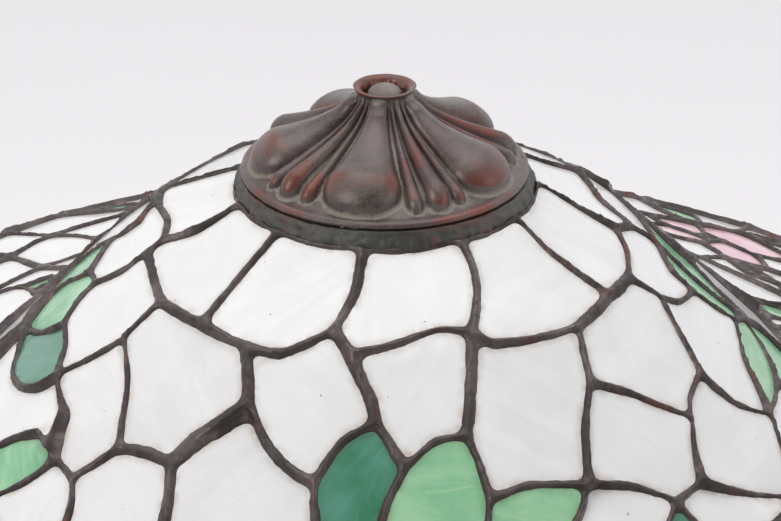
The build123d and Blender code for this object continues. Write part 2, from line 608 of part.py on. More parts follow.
def foot():
    """Hollow cast foot with great and small lobes round its shoulder."""
    outside = [
        (FOOT_R, 1.5), (FOOT_R, 9), (112, 13), (105, 16), (96, 20), (84, 24.5), (70, 31), (56, 40),
        (44, 52), (35, 64), (30, 74), (27, 79), (27, FOOT_TOP),
    ]
    within = [
        (ROD_BORE, FOOT_TOP), (ROD_BORE, 74), (24, 74), (31, 61), (40, 48), (52, 36), (66, 27),
        (80, 20.5), (94, 15.5), (104, 11.5), (110, 7), (110, 1.5),
    ]
    body = turned(outside + within)
    keep = turned([(0, FOOT_TOP), *within[1:-1], (FOOT_R - 0.5, 7), (FOOT_R - 0.5, FOOT_TOP)])
    for k in range(LOBES):
        azimuth = FIRST_LOBE + 360 / LOBES * k
        body = body + (teardrop(84, 4, 26, 44, 46, 9, azimuth) & keep)
        body = body + (teardrop(99, 8, 12, 86, 20, 7, azimuth + 180 / LOBES) & keep)
    hole = Solid.make_cylinder(4.7, 20, Plane(Vector(0, 96, INLET_Z), z_dir=(0, 1, 0)))
    return (body - hole).solids()


def stem_lower():
    low = FOOT_TOP
    outside = [(22, low), (22, low + 5), (15, low + 10), (13, low + 20), (17, low + 36), (24, low + 54),
               (24, low + 66), (17, low + 84), (12.5, low + 98), (16, low + 104), (16, low + 110)]
    within = [(ROD_BORE, low + 110), (ROD_BORE, low + 104), (8.5, low + 98), (13, low + 82),
              (20, low + 65), (20, low + 55), (13, low + 37), (9, low + 20), (10, low + 9),
              (ROD_BORE, low + 6), (ROD_BORE, low)]
    return [turned(outside + within)]


def stem_column():
    """Long reeded tube."""
    low, high = FOOT_TOP + 110.0, STEM_TOP - 60.0
    body = tube(12.0, 8.5, low, high)
    reeds = []
    for k in range(12):
        angle = math.radians(30 * k)
        reeds.append(Solid.make_cylinder(2.6, high - low - 12.0,
                     Plane(Vector(11.2 * math.cos(angle), 11.2 * math.sin(angle), low + 6.0))))
    hollow = Solid.make_cylinder(8.6, high - low, Plane(Vector(0, 0, low)))
    for reed in reeds:
        body = body + (reed - hollow)
    return body.solids()


def stem_upper():
    low = STEM_TOP - 60.0
    outside = [(16, low), (16, low + 6), (12, low + 10), (11, low + 22), (14, low + 38), (22, low + 52),
               (24, low + 56), (24, STEM_TOP)]
    within = [(ROD_BORE, STEM_TOP), (ROD_BORE, low + 55), (18.5, low + 52), (10.5, low + 38),
              (7.8, low + 22), (8, low + 9), (ROD_BORE, low + 6), (ROD_BORE, low)]
    return [turned(outside + within)]


def cluster_body():
    """Turned body that carries the three sockets, hollow for the wires."""
    low, high = STEM_TOP, STEM_TOP + 36.0
    outside = [(18, low), (24, low + 3), (CLUSTER_R, low + 8), (CLUSTER_R, high - 8),
               (24, high - 3), (14, high)]
    within = [(ROD_BORE, high), (ROD_BORE, high - 4), (20, high - 6), (22.5, high - 10),
              (22.5, low + 10), (20, low + 6), (ROD_BORE, low + 4), (ROD_BORE, low)]
    body = turned(outside + within)
    for azimuth in SOCKET_AZIMUTHS:
        way = Solid.make_cylinder(5.0, 14, Plane(Vector(18, 0, CLUSTER_Z), z_dir=(1, 0, 0)))
        body = body - around([way], azimuth)[0]
    return body.solids()


def along_x(points):
    """A solid turned round the horizontal line at the sockets' height, from (x, radius) corners."""
    face = Face(Wire.make_polygon([Vector(x, 0, CLUSTER_Z + r) for x, r in points], close=True))
    return Solid.revolve(face, 360, Axis((0, 0, CLUSTER_Z), (1, 0, 0)))


def on_sockets(solids):
    return [one for azimuth in SOCKET_AZIMUTHS for one in around(solids, azimuth)]


def socket_arm():
    return [along_x([(22.8, 2.6), (SOCKET_IN, 2.6), (SOCKET_IN, 6.5), (31, 6.5), (29, 4.9), (22.8, 4.9)])]


def socket_cap():
    x = SOCKET_IN
    cup = along_x([(x, 2.8), (x, 9.0), (x + 5, 15), (x + 12, SOCKET_R), (x + 24, SOCKET_R),
                   (x + 24, SOCKET_R - 1.6), (x + 12, SOCKET_R - 1.6), (x + 5, 13), (x + 2, 8),
                   (x + 2, 2.8)])
    guide = Solid.make_cylinder(3.6, 7.5, Plane(Vector(CHAIN_X, 0, CLUSTER_Z - 23.0)))
    way = Solid.make_cylinder(2.3, 14.0, Plane(Vector(CHAIN_X, 0, CLUSTER_Z - 24.0)))
    return (cup + guide - way).solids()


def socket_shell():
    x = SOCKET_IN + 24.2
    return [along_x([(x, SOCKET_R), (SOCKET_OUT - 2, SOCKET_R), (SOCKET_OUT, SOCKET_R + 1.4),
                     (SOCKET_OUT, SOCKET_R - 0.2), (SOCKET_OUT - 2, SOCKET_R - 1.4), (x, SOCKET_R - 1.4)])]


def socket_liner():
    x = SOCKET_IN + 24.4
    return [along_x([(x, SOCKET_R - 1.6), (SOCKET_OUT - 2.2, SOCKET_R - 1.6),
                     (SOCKET_OUT - 2.2, SOCKET_R - 3.2), (x + 4, SOCKET_R - 3.2), (x + 4, 4), (x, 4)])]


def bulb_base():
    """Screw base of a bulb, ridged like its thread."""
    corners = [(67.5, 0), (67.5, 5.0), (70, 8.0)]
    for k in range(5):
        corners += [(71.0 + 3 * k, 13.0), (72.5 + 3 * k, 12.2)]
    return [along_x(corners + [(88, 13.0), (90, 13.0), (90, 0)])]


def bulb_glass():
    corners = [(90.2, 0), (90.2, 13.0), (98, 14.5), (110, 18.5), (122, 23.5)]
    for k in range(9):
        angle = math.radians(128 - 16 * k)
        corners.append((BULB_MID + BULB_R * math.cos(angle), BULB_R * math.sin(angle)))
    return [along_x(corners[:-1] + [(BULB_MID + BULB_R, 0)])]


def chain(azimuth):
    """A ball chain hanging from its socket."""
    top = CLUSTER_Z - 18.5
    low = top - BEAD_PITCH * (CHAIN_BEADS - 1)
    links = Solid.make_cylinder(0.6, top - low, Plane(Vector(CHAIN_X, 0, low)))
    body = links
    for k in range(CHAIN_BEADS):
        body = body + Solid.make_sphere(BEAD_R, Plane(Vector(CHAIN_X, 0, top - BEAD_PITCH * k)))
    return around(body.solids(), azimuth)


def chain_bell(azimuth):
    """Small bell closing the end of a pull chain."""
    top = CLUSTER_Z - 18.5 - BEAD_PITCH * (CHAIN_BEADS - 1) - BEAD_R
    corners = [(0, top - 12), (4.4, top - 12), (4.8, top - 10), (3.2, top - 4), (2.0, top), (0, top)]
    bell = turned(corners).moved(Location((CHAIN_X, 0, 0)))
    return around([bell], azimuth)


def hexagon(low, high, across, bore):
    corners = [
        Vector(across / math.sqrt(3) * math.cos(math.radians(60 * k)),
               across / math.sqrt(3) * math.sin(math.radians(60 * k)), low)
        for k in range(6)
    ]
    body = Solid.extrude(Face(Wire.make_polygon(corners, close=True)), Vector(0, 0, high - low))
    return (body - Solid.make_cylinder(bore, high - low, Plane(Vector(0, 0, low)))).solids()


def rim_wire():
    """Wire soldered round the inside of the lower edge."""
    r, z = dome_radius(RIM_S), CROWN_Z - dome_drop(RIM_S)
    ring = Solid.make_torus(r - 2.2, 1.9, Plane(Vector(0, 0, z - 2.6)))
    return [ring]


def crown_ring():
    """Brass ring in the shade's opening; its flange laps over the glass and carries the cap."""
    z = CROWN_Z
    return [turned([(50.4, z - 4), (53.6, z - 4), (53.6, z + 2.6), (57.6, z + 2.3), (58.0, z + 3.2),
                    (55.5, z + 5.2), (53.6, z + 6.2), (50.4, z + 6.2)])]


def inlet_bushing():
    """Threaded bushing for the supply cord, in the back of the foot."""
    body = Solid.make_cylinder(4.5, 16.5, Plane(Vector(0, 100.0, INLET_Z), z_dir=(0, 1, 0)))
    collar = Solid.make_cylinder(7.5, 2.9, Plane(Vector(0, FOOT_R + 0.1, INLET_Z), z_dir=(0, 1, 0)))
    bore = Solid.make_cylinder(3.4, 24, Plane(Vector(0, 98.0, INLET_Z), z_dir=(0, 1, 0)))
    return (body + collar - bore).solids()


def main():
    os.makedirs("parts", exist_ok=True)
    nodes = glass_and_seams()
    nodes["cap"] = cap()
    nodes["cap_bridge"] = cap_bridge()
    nodes["nut_washer"] = [tube(7.2, ROD_BORE, NUT_Z - 1.4, NUT_Z - 0.2)]
    nodes["top_nut"] = nut()
    nodes["crown_ring"] = crown_ring()
    nodes["spider"] = spider()
    nodes["rim_wire"] = rim_wire()
    nodes["shade_rest_nut"] = hexagon(CROWN_Z - 10.0, CROWN_Z - 4.2, 19.0, ROD_BORE - 0.3)
    nodes["rod"] = [tube(ROD_R, 3.2, 8.0, ROD_TOP)]
    nodes["cluster_top_nut"] = hexagon(STEM_TOP + 36.1, STEM_TOP + 41.0, 17.0, ROD_BORE - 0.3)
    nodes["cluster_body"] = cluster_body()
    nodes["socket_arms"] = on_sockets(socket_arm())
    nodes["socket_caps"] = on_sockets(socket_cap())
    nodes["socket_shells"] = on_sockets(socket_shell())
    nodes["socket_liners"] = on_sockets(socket_liner())
    nodes["bulb_bases"] = on_sockets(bulb_base())
    nodes["bulbs"] = on_sockets(bulb_glass())
    for k, azimuth in enumerate(SOCKET_AZIMUTHS):
        nodes[f"pull_chain_{k + 1}"] = chain(azimuth)
        nodes[f"chain_bell_{k + 1}"] = chain_bell(azimuth)
    nodes["stem_upper"] = stem_upper()
    nodes["stem_column"] = stem_column()
    nodes["stem_lower"] = stem_lower()
    nodes["foot"] = foot()
    nodes["foot_nut"] = hexagon(FOOT_CEILING - 7.8, FOOT_CEILING - 1.6, 17.0, ROD_BORE - 0.3)
    nodes["foot_washer"] = [tube(14.0, ROD_BORE, FOOT_CEILING - 1.5, FOOT_CEILING)]
    nodes["foot_weight"] = [tube(84.0, 20.0, FLOOR_PLATE + 0.2, FLOOR_PLATE + 10.8)]
    nodes["foot_plate"] = [tube(109.6, 12.0, 1.6, FLOOR_PLATE)]
    nodes["foot_felt"] = [tube(112.0, 12.0, 0.0, 1.4)]
    nodes["inlet_bushing"] = inlet_bushing()
    for name, solids in nodes.items():
        export_step(Compound(children=list(solids)), f"parts/{name}.step", write_pcurves=False)
    print(len(nodes), "nodes,", sum(len(solids) for solids in nodes.values()), "solids")


main()
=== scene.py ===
import json
import math
import random
from collections import Counter

import bmesh
import bpy
import numpy as np
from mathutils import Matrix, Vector, noise
from mathutils.geometry import delaunay_2d_cdt


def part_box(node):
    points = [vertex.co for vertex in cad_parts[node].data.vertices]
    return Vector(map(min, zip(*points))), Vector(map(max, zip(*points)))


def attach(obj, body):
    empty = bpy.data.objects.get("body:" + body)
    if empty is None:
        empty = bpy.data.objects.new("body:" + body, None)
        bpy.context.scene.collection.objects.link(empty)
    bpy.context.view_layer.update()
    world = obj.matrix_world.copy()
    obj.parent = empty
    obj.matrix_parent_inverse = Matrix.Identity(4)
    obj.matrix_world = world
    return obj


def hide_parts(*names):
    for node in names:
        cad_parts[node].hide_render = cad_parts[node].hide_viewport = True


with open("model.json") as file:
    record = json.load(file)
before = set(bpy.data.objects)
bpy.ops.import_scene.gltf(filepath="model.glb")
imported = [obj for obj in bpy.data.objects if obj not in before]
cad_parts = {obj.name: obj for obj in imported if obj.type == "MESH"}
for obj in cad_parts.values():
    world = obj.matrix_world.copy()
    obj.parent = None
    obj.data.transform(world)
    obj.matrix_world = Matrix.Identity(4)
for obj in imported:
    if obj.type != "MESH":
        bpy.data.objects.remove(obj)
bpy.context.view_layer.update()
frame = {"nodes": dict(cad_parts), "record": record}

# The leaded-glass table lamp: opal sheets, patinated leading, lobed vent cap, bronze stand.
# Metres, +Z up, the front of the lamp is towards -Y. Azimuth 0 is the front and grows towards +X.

MM = 0.001
NODES = frame["nodes"]
CAP_LOW, CAP_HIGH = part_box("cap")
RING_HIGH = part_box("crown_ring")[1]
FOOT_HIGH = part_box("foot")[1]
CROWN_HEIGHT = RING_HIGH.z - 6.2 * MM  # the upper edge of the glass

SHARP_CORNER = math.radians(38)  # an outline keeps a corner that turns more than this
OUTLINE_STEP = 2.5 * MM

SHEET_THICK = 2.6 * MM
SHEET_STEP = 4.5 * MM
SHEET_ROW = 0.87  # rows of points inside a sheet stand this share of a step apart
SHEET_MARGIN = 1.8 * MM  # no inner point stands closer to the outline
UNDER_SEAM = 0.7 * MM  # how far a sheet reaches under its seam
SHEET_WAVE, WAVE_LENGTH = 0.16 * MM, 0.021  # the slow waves of rolled glass
SHEET_EDGE, EDGE_WIDTH = 0.22 * MM, 1.6 * MM  # and the fall of its ground edge
DOME_MIDDLE = Vector((0.0, 0.0, CROWN_HEIGHT - 0.35))  # every sheet faces away from it

SEAM_THICK = 4.4 * MM
SWELL = 0.85 * MM  # closes the hairline between two frames
SETTLE = 0.55 * MM  # and is taken off again
MIDDLE_DROP = 0.1 * MM  # the solder stands highest along the middle of a seam
SIDE_DROP = 1.0 * MM  # and lowest beside the glass
LEAD_VOXEL, QUICK_LEAD_VOXEL = 0.96 * MM, 1.1 * MM

LOBE_COUNT = 5
FIRST_LOBE = math.radians(-12)
OUTER_SHARE = 0.56  # the share of a lobed casting's outline that is its outer face
# The outlines of the castings, and these measures of them, are in millimetres.
LIP_DROP = 1.5  # the throat of the cap ends this far below the CAD lip
CAP_LOBE_REACH, FOOT_LOBE_REACH = 50.0, 110.0  # radius of the flat rim outside the lobes
FOOT_RIM = 12.0  # height of the foot's plain edge
BORE = 5.2  # radius of the hole for the rod

CAMERA_REACH = 0.85
CAMERA_RISE = math.radians(24.6)
CAMERA_TILT = math.radians(1.897)  # the lens points below the crown
CAMERA_TURN = math.radians(0.155)  # and a little to its right
CAMERA_LENS = 105.9
FLOOR_HALF = 9.0


# ------------------------------------------------------------------ camera, floor and light


def add_camera():
    data = bpy.data.cameras.new("camera")
    data.lens = CAMERA_LENS
    data.sensor_width = 36.0
    data.clip_end = 50.0
    camera = bpy.data.objects.new("camera", data)
    camera.location = (
        0.0,
        -CAMERA_REACH * math.cos(CAMERA_RISE),
        CROWN_HEIGHT + CAMERA_REACH * math.sin(CAMERA_RISE),
    )
    camera.rotation_euler = (math.pi / 2 - CAMERA_RISE - CAMERA_TILT, 0.0, -CAMERA_TURN)
    bpy.context.scene.collection.objects.link(camera)
    bpy.context.scene.camera = camera


def add_floor():
    mesh = bpy.data.meshes.new("floor")
    shape = bmesh.new()
    bmesh.ops.create_grid(shape, x_segments=8, y_segments=8, size=FLOOR_HALF)
    shape.to_mesh(mesh)
    shape.free()
    floor = bpy.data.objects.new("floor", mesh)
    bpy.context.scene.collection.objects.link(floor)
    floor.data.materials.append(floor_paper())


def add_light(name, place, aim, size, power, colour=(1.0, 1.0, 1.0)):
    data = bpy.data.lights.new(name, "AREA")
    data.shape = "RECTANGLE"
    data.size, data.size_y = size
    data.energy = power
    data.color = colour
    light = bpy.data.objects.new(name, data)
    light.location = place
    way = Vector(aim) - Vector(place)
    light.rotation_euler = way.to_track_quat("-Z", "Y").to_euler()
    bpy.context.scene.collection.objects.link(light)


def add_room():
    """The light of the room: dim in front of the lamp and bright behind it."""
    world = bpy.data.worlds.new("studio")
    world.use_nodes = True
    tree = world.node_tree
    background = tree.nodes["Background"]
    background.inputs["Color"].default_value = (0.975, 0.965, 0.985, 1.0)
    parts = tree.nodes.new("ShaderNodeSeparateXYZ")
    tree.links.new(tree.nodes.new("ShaderNodeTexCoord").outputs["Generated"], parts.inputs[0])
    depth = tree.nodes.new("ShaderNodeMapRange")
    tree.links.new(parts.outputs["Y"], depth.inputs["Value"])
    for name, value in (("From Min", -0.9), ("From Max", 0.35), ("To Min", 0.28), ("To Max", 1.02)):
        depth.inputs[name].default_value = value
    tree.links.new(depth.outputs["Result"], background.inputs["Strength"])
    bpy.context.scene.world = world


def add_lights():
    add_light("overhead", (0.0, 0.2, 2.6), (0.0, 0.0, 0.5), (2.4, 2.0), 17.0)
    add_light("key", (-1.7, -1.6, 1.9), (0.0, 0.0, 0.55), (1.3, 1.3), 21.0, (1.0, 0.98, 0.96))
    add_light("fill", (2.2, -0.9, 1.2), (0.0, 0.0, 0.5), (1.4, 1.4), 5.0)
    bpy.context.scene.view_settings.view_transform = "Standard"


# ------------------------------------------------------------------ materials


def new_material(name, colour, roughness, metallic=0.0, coat=0.0, coat_rough=0.1, specular=0.5):
    """A material and its principled shader, with the values that are the same all over."""
    material = bpy.data.materials.new(name)
    material.use_nodes = True
    shader = material.node_tree.nodes["Principled BSDF"]
    shader.inputs["Base Color"].default_value = (*colour, 1.0)
    shader.inputs["Roughness"].default_value = roughness
    shader.inputs["Metallic"].default_value = metallic
    shader.inputs["Coat Weight"].default_value = coat
    shader.inputs["Coat Roughness"].default_value = coat_rough
    shader.inputs["Specular IOR Level"].default_value = specular
    material.diffuse_color = (*colour, 1.0)
    return material, shader


def add_node(material, kind, inputs=None, **settings):
    node = material.node_tree.nodes.new(kind)
    for key, value in settings.items():
        setattr(node, key, value)
    for key, value in (inputs or {}).items():
        if isinstance(value, bpy.types.NodeSocket):
            material.node_tree.links.new(value, node.inputs[key])
        else:
            node.inputs[key].default_value = value
    return node


def own_place(material):
    """The object's own coordinates, in metres."""
    return add_node(material, "ShaderNodeTexCoord").outputs["Object"]


def attribute(material, name, output="Fac"):
    return add_node(material, "ShaderNodeAttribute", attribute_name=name).outputs[output]


def noise_value(material, place, scale, detail=4.0, roughness=0.55, distortion=0.0):
    inputs = {
        "Vector": place, "Scale": scale, "Detail": detail, "Roughness": roughness,
        "Distortion": distortion,
    }
    return add_node(material, "ShaderNodeTexNoise", inputs).outputs["Fac"]


def ramp(material, value, low, high, to_low=0.0, to_high=1.0):
    inputs = {0: value, 1: low, 2: high, 3: to_low, 4: to_high}
    return add_node(material, "ShaderNodeMapRange", inputs, interpolation_type="SMOOTHSTEP").outputs[0]


def mixed(material, factor, one, two):
    """A mix of two colours, by a factor from a socket; each colour is a socket or a plain colour."""
    one, two = (part if isinstance(part, bpy.types.NodeSocket) else (*part, 1.0) for part in (one, two))
    inputs = {0: factor, 6: one, 7: two}
    return add_node(material, "ShaderNodeMix", inputs, data_type="RGBA").outputs[2]


def math_value(material, operation, one, two):
    return add_node(material, "ShaderNodeMath", {0: one, 1: two}, operation=operation).outputs[0]


def product(material, one, two):
    return math_value(material, "MULTIPLY", one, two)


def link(material, value, shader, name):
    material.node_tree.links.new(value, shader.inputs[name])


def set_bump(material, shader, height, strength, distance):
    inputs = {"Strength": strength, "Distance": distance, "Height": height}
    link(material, add_node(material, "ShaderNodeBump", inputs).outputs["Normal"], shader, "Normal")


def scaled_place(material, place, scale):
    return add_node(material, "ShaderNodeMapping", {"Vector": place, "Scale": scale}).outputs[0]


def floor_paper():
    material, shader = new_material("floor_paper", (0.80, 0.79, 0.80), 0.7)
    place = own_place(material)
    clouds = noise_value(material, place, 3.0)
    colour = mixed(material, clouds, (0.875, 0.865, 0.87), (0.895, 0.885, 0.89))
    link(material, colour, shader, "Base Color")
    set_bump(material, shader, noise_value(material, place, 260.0), 0.1, 0.0004)
    return material


def opal_glass(name, pale, deep, wisp, streaks, cloud):
    """Opalescent sheet: pale and deep colour drawn out in streaks, a gloss, grime by the seams."""
    material, shader = new_material(name, pale, 0.22, coat=0.35, coat_rough=0.06, specular=0.45)
    grain = attribute(material, "grain", "Vector")
    drawn = scaled_place(material, grain, (1.0, 0.22, 1.0))
    long_streaks = ramp(material, noise_value(material, drawn, 85.0, 6.0, 0.62, 0.8), 0.38, 0.62)
    clouds = ramp(material, noise_value(material, grain, 38.0, 4.0), 0.38, 0.62)
    blend = product(material, math_value(material, "ADD", long_streaks, clouds), cloud)
    tone = ramp(material, attribute(material, "tone"), 0.0, 1.0, 1 - streaks, 1 + streaks)
    blend = product(material, blend, tone)
    body = mixed(material, math_value(material, "MINIMUM", blend, 1.0), pale, deep)
    wisps = ramp(material, noise_value(material, drawn, 190.0, 4.0, 0.6, 1.2), 0.55, 0.75)
    body = mixed(material, product(material, wisps, 0.5), body, wisp)
    dirt_edge = ramp(material, attribute(material, "rim"), 0.0, 0.0030, 1.0, 0.0)
    dirt_patch = ramp(material, noise_value(material, own_place(material), 170.0, 5.0, 0.7), 0.36, 0.62)
    dirt = product(material, dirt_edge, dirt_patch)
    grime = tuple(0.55 * value * tint for value, tint in zip(pale, (1.0, 0.82, 0.60)))
    body = mixed(material, product(material, dirt, 0.66), body, grime)
    specks = ramp(material, noise_value(material, grain, 330.0, 1.0), 0.79, 0.81)
    body = mixed(material, product(material, specks, 0.7), body, (0.30, 0.20, 0.12))
    link(material, body, shader, "Base Color")
    link(material, ramp(material, dirt, 0.0, 1.0, 0.2, 0.5), shader, "Roughness")
    set_bump(material, shader, noise_value(material, drawn, 90.0, 3.0), 0.12, 0.0006)
    return material


def leading_metal():
    """Solder seam under a dark copper patina: brown-grey, red in patches, paler in its hollows."""
    material, shader = new_material("leading_metal", (0.075, 0.057, 0.053), 0.38, metallic=0.5)
    place = own_place(material)
    broad = ramp(material, noise_value(material, place, 45.0, 4.0, 0.6), 0.4, 0.62)
    fine = ramp(material, noise_value(material, place, 330.0, 5.0, 0.65), 0.42, 0.68)
    red = ramp(material, noise_value(material, place, 85.0, 3.0, 0.5, 0.4), 0.58, 0.72)
    colour = mixed(material, broad, (0.052, 0.039, 0.037), (0.110, 0.088, 0.084))
    colour = mixed(material, product(material, red, 0.55), colour, (0.17, 0.058, 0.038))
    colour = mixed(material, product(material, fine, 0.4), colour, (0.036, 0.038, 0.033))
    hollow = ramp(material, attribute(material, "hollow"), 0.15, 0.8)
    colour = mixed(material, product(material, hollow, 0.35), colour, (0.13, 0.125, 0.105))
    link(material, colour, shader, "Base Color")
    link(material, ramp(material, fine, 0.0, 1.0, 0.30, 0.6), shader, "Roughness")
    set_bump(material, shader, noise_value(material, place, 420.0, 6.0, 0.7), 0.35, 0.0006)
    return material


def patinated_bronze(name, dark, light, red, verdigris, green, roughness):
    """Cast bronze: dark brown, rubbed red on the crests, grey-green verdigris in the hollows."""
    material, shader = new_material(name, dark, roughness, metallic=0.35)
    place = own_place(material)
    broad = ramp(material, noise_value(material, place, 38.0, 4.0, 0.6), 0.36, 0.66)
    fine = noise_value(material, place, 520.0, 5.0, 0.75)
    hollow = attribute(material, "hollow")
    uneven = product(material, math_value(material, "SUBTRACT", fine, 0.5), 0.9)
    above = math_value(material, "SUBTRACT", product(material, uneven, 0.3), hollow)
    crest = ramp(material, above, 0.02, 0.5)
    recess = ramp(material, math_value(material, "ADD", hollow, uneven), 0.6, 1.2)
    colour = mixed(material, broad, dark, light)
    patch = ramp(material, noise_value(material, place, 30.0, 4.0), 0.38, 0.64)
    speckle = ramp(material, noise_value(material, place, 950.0, 3.0, 0.6), 0.40, 0.62)
    veil = product(material, product(material, patch, speckle), 0.38)
    dusty = tuple(0.5 * value * tint for value, tint in zip(verdigris, (0.9, 1.08, 0.95)))
    colour = mixed(material, veil, colour, dusty)
    worn = ramp(material, noise_value(material, place, 48.0, 2.0), 0.44, 0.64)
    rubbed = product(material, crest, worn)
    colour = mixed(material, product(material, rubbed, 0.8), colour, red)
    colour = mixed(material, product(material, recess, green), colour, verdigris)
    link(material, colour, shader, "Base Color")
    dull = math_value(
        material, "ADD", product(material, recess, 0.35), product(material, veil, 0.25))
    link(material, math_value(material, "ADD", dull, roughness - 0.04), shader, "Roughness")
    set_bump(material, shader, fine, 0.28, 0.0005)
    return material


def plain_metal(name, colour, roughness, metallic=0.9):
    """Machined or spun metal with fine marks and a little tarnish."""
    material, shader = new_material(name, colour, roughness, metallic=metallic)
    place = own_place(material)
    tarnish = ramp(material, noise_value(material, place, 60.0, 5.0, 0.65), 0.42, 0.7)
    dull = tuple(0.35 * value for value in colour)
    link(material, mixed(material, product(material, tarnish, 0.3), colour, dull), shader, "Base Color")
    link(material, ramp(material, tarnish, 0.0, 1.0, roughness, roughness + 0.25), shader, "Roughness")
    drawn = scaled_place(material, place, (1.0, 1.0, 9.0))
    set_bump(material, shader, noise_value(material, drawn, 700.0, 2.0), 0.12, 0.0002)
    return material


def soft_stuff(name, colour, roughness, scale, depth):
    """Felt, card, iron or moulded plastic: mottled colour and a fine tooth."""
    material, shader = new_material(name, colour, roughness)
    place = own_place(material)
    speckle = noise_value(material, place, scale, 6.0, 0.7)
    dark, light = (tuple(share * value for value in colour) for share in (0.7, 1.25))
    link(material, mixed(material, speckle, dark, light), shader, "Base Color")
    set_bump(material, shader, speckle, 0.5, depth)
    return material


def bulb_glass():
    material, shader = new_material(
        "bulb_frosted", (0.92, 0.91, 0.87), 0.35, coat=0.3, coat_rough=0.15)
    place = own_place(material)
    haze = noise_value(material, place, 40.0, 4.0)
    link(material, mixed(material, haze, (0.88, 0.87, 0.82), (0.95, 0.94, 0.91)), shader, "Base Color")
    set_bump(material, shader, noise_value(material, place, 900.0, 2.0), 0.08, 0.0002)
    return material


# ------------------------------------------------------------------ meshes


def add_piece(name, mesh, material, body, replaced):
    """A visible piece that rides on a body and stands in for a list of CAD nodes."""
    piece = bpy.data.objects.new(name, mesh)
    bpy.context.scene.collection.objects.link(piece)
    mesh.materials.clear()
    mesh.materials.append(material)
    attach(piece, body)
    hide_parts(*replaced)


def smooth_shading(mesh):
    mesh.polygons.foreach_set("use_smooth", [True] * len(mesh.polygons))


def mesh_points(mesh):
    points = np.empty(len(mesh.vertices) * 3)
    mesh.vertices.foreach_get("co", points)
    return points.reshape(-1, 3)


def mesh_normals(mesh):
    normals = np.empty(len(mesh.vertices) * 3)
    mesh.vertices.foreach_get("normal", normals)
    return normals.reshape(-1, 3)


def set_points(mesh, points):
    mesh.vertices.foreach_set("co", points.ravel())
    mesh.update()


def set_values(mesh, name, values):
    layer = mesh.attributes.new(name, "FLOAT", "POINT")
    layer.data.foreach_set("value", np.asarray(values, dtype=np.float32))


def neighbour_mean(mesh, values, rounds):
    """Values averaged over neighbouring points, a few times over."""
    edges = np.empty(len(mesh.edges) * 2, dtype=np.int64)
    mesh.edges.foreach_get("vertices", edges)
    edges = edges.reshape(-1, 2)
    count = np.bincount(edges.ravel(), minlength=len(mesh.vertices)).astype(float)
    count[count == 0] = 1.0
    for _ in range(rounds):
        total = np.zeros_like(values)
        np.add.at(total, edges[:, 0], values[edges[:, 1]])
        np.add.at(total, edges[:, 1], values[edges[:, 0]])
        values = total / (count if values.ndim == 1 else count[:, None])
    return values


def mark_hollows(mesh, reach, size):
    """How hollow the surface is at each point: 1 at the bottom of a groove, below 0 on a crest."""
    points = mesh_points(mesh)
    middle = neighbour_mean(mesh, points, reach)
    depth = ((middle - points) * mesh_normals(mesh)).sum(axis=1)
    set_values(mesh, "hollow", np.clip(neighbour_mean(mesh, depth, 2) / size, -1.0, 1.0))


def roughen(mesh, waves):
    """Moves points along their normals by seeded noise: (amplitude, size) pairs in metres."""
    points, normals = mesh_points(mesh), mesh_normals(mesh)
    shift = np.zeros(len(points))
    for amplitude, size in waves:
        shift += amplitude * np.array([noise.noise(Vector(p) / size) for p in points])
    set_points(mesh, points + normals * shift[:, None])


def along_curve(points, step, sharp=SHARP_CORNER):
    """A smooth closed line through the points, with its sharp corners kept."""
    count = len(points)
    ways = []
    for i in range(count):
        into, out = points[i] - points[i - 1], points[(i + 1) % count] - points[i]
        turn = into.angle(out) if into.length and out.length else 0.0
        ways.append(None if turn > sharp else (into.normalized() + out.normalized()).normalized())
    line = []
    for i in range(count):
        start, end = points[i], points[(i + 1) % count]
        run = end - start
        leave = (ways[i] or run.normalized()) * run.length
        arrive = (ways[(i + 1) % count] or run.normalized()) * run.length
        parts = max(1, math.ceil(run.length / step))
        for k in range(parts):
            t = k / parts
            line.append(
                start * (2 * t**3 - 3 * t**2 + 1) + leave * (t**3 - 2 * t**2 + t)
                + end * (3 * t**2 - 2 * t**3) + arrive * (t**3 - t**2)
            )
    return line


# ------------------------------------------------------------------ sheets of glass and their seams


def solids_of(node):
    """The separate solids of a CAD node, each as a list of welded bmesh faces."""
    shape = bmesh.new()
    shape.from_mesh(NODES[node].data)
    bmesh.ops.remove_doubles(shape, verts=shape.verts, dist=1e-6)
    shape.normal_update()
    left, groups = set(shape.faces), []
    for seed in list(shape.faces):
        if seed not in left:
            continue
        group, stack = [], [seed]
        left.discard(seed)
        while stack:
            face = stack.pop()
            group.append(face)
            for edge in face.edges:
                for other in edge.link_faces:
                    if other in left:
                        left.discard(other)
                        stack.append(other)
        groups.append(group)
    return shape, groups


def flat_normal(group, thickness):
    """The outward normal of a flat plate: along it, every corner lies on one of two planes."""
    corners = np.array([vert.co for vert in {vert for face in group for vert in face.verts}])
    tried, best = [], (1.0, None)
    for face in group:
        way = face.normal
        if way.length < 0.5 or any(abs(way.dot(other)) > 0.9999 for other in tried):
            continue
        tried.append(way.copy())
        reach = corners @ np.array(way)
        spread = abs(reach.max() - reach.min() - thickness)
        spread += np.minimum(reach - reach.min(), reach.max() - reach).max()
        best = min(best, (spread, len(tried) - 1), key=lambda item: item[0])
    normal = tried[best[1]]
    outward = group[0].calc_center_median() - DOME_MIDDLE
    if abs(normal.z) < 0.5:
        outward.z = 0.0
    return normal if normal.dot(outward) > 0 else -normal


def top_loops(group, normal):
    """The closed outlines of a plate's upper face."""
    faces = {face for face in group if face.normal.dot(normal) > 0.9}
    following = {}
    for face in faces:
        for loop in face.loops:
            if sum(1 for other in loop.edge.link_faces if other in faces) == 1:
                following[loop.vert] = loop.link_loop_next.vert
    loops = []
    while following:
        start = next(iter(following))
        line, point = [], start
        while point in following:
            line.append(point.co.copy())
            point = following.pop(point)
        loops.append(line)
    return loops


